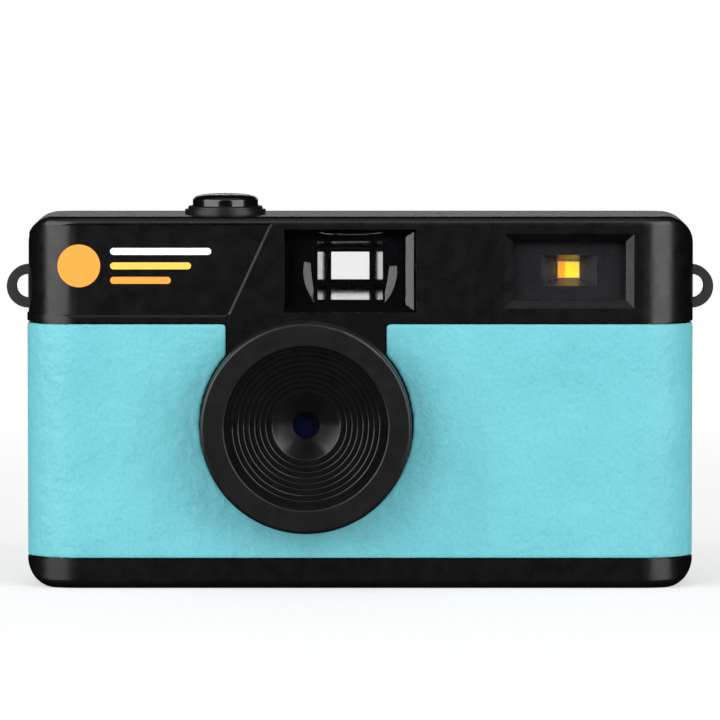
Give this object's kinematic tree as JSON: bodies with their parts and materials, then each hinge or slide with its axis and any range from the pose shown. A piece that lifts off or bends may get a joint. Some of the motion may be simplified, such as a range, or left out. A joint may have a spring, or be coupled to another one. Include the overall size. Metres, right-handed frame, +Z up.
{
  "type": "compact viewfinder camera",
  "caption": "Screen-free point-and-shoot camera in the half-frame style: leatherette band, fixed lens in a grooved funnel, see-through viewfinder, LED flash and top release.",
  "frame": {"origin": "under the middle of the whole camera's box, on the surface that it stands on", "axes": "+X to the right of someone facing the lens, -Y out of the lens, +Z up"},
  "size_m": [0.1232, 0.0356, 0.068],
  "materials": {
    "body_plastic": "fine satin moulding texture, black",
    "leatherette": "embossed turquoise leatherette, soft sheen",
    "barrel_plastic": "satin black moulding",
    "gloss_plastic": "polished black",
    "clear_plastic": "clear polished moulding",
    "optical_glass": "coated optical surface",
    "inner_plastic": "black moulding",
    "reflector_plastic": "dark polished facets",
    "led_ceramic": "white ceramic package",
    "phosphor": "yellow phosphor layer",
    "circuit_board": "solder mask over glass laminate",
    "chip_plastic": "moulded chip package",
    "steel": "plated steel",
    "battery_foil": "laminated foil pouch",
    "tape": "double-sided foam tape",
    "brass": "brass sounder disc",
    "lead_insulation": "flexible insulation",
    "plug_plastic": "off-white connector housing"
  },
  "bodies": {
    "body": {"aperture_stop": "inner_plastic", "battery_cell": "battery_foil", "battery_leads": "lead_insulation", "battery_tape": "tape", "board_chips": "chip_plastic", "buzzer": "brass", "buzzer_leads": "lead_insulation", "card_door": "body_plastic", "card_door_screw": "steel", "card_socket": "steel", "case_screws": "steel", "control_board": "circuit_board", "control_lead": "lead_insulation", "eyepiece_frame": "barrel_plastic", "eyepiece_lens": "clear_plastic", "flash_board": "circuit_board", "flash_lead": "lead_insulation", "flash_led": "led_ceramic", "flash_pane": "clear_plastic", "flash_phosphor": "phosphor", "flash_reflector": "reflector_plastic", "front_cover": "body_plastic", "front_element": "optical_glass", "front_leatherette": "leatherette", "image_sensor": "chip_plastic", "indicator_led": "led_ceramic", "indicator_light_pipe": "clear_plastic", "infrared_filter": "optical_glass", "inner_screws": "steel", "lcd_module": "inner_plastic", "lcd_pane": "clear_plastic", "lcd_ribbon": "lead_insulation", "lead_plugs": "plug_plastic", "lens_baffle": "barrel_plastic", "lens_barrel": "barrel_plastic", "lens_cell": "inner_plastic", "lens_holder": "inner_plastic", "lens_pane": "optical_glass", "main_board": "circuit_board", "memory_card": "inner_plastic", "rear_cover": "body_plastic", "rear_element": "optical_glass", "rear_leatherette": "leatherette", "shutter_board": "circuit_board", "shutter_collar": "barrel_plastic", "shutter_leads": "lead_insulation", "shutter_spring": "steel", "shutter_switch": "inner_plastic", "slide_switch_body": "inner_plastic", "strap_loop_left": "barrel_plastic", "strap_loop_right": "barrel_plastic", "usb_c_socket": "steel", "viewfinder_tunnel": "inner_plastic", "viewfinder_window": "clear_plastic"},
    "release": {"shutter_button": "gloss_plastic", "shutter_clip": "steel", "switch_plunger": "inner_plastic"},
    "flash_switch": {"flash_switch_knob": "gloss_plastic", "slide_switch_actuator": "inner_plastic"}
  },
  "joints": [
    {"name": "release_press", "type": "slide", "parent": "body", "child": "release", "axis": [0, 0, -1], "range_m": [0, 0.0006], "stiffness_N_per_m": 400, "springref_m": -0.0008, "deforming": ["shutter_spring"]},
    {"name": "flash_switch_slide", "type": "slide", "parent": "body", "child": "flash_switch", "axis": [1, 0, 0], "range_m": [0, 0.003]}
  ]
}
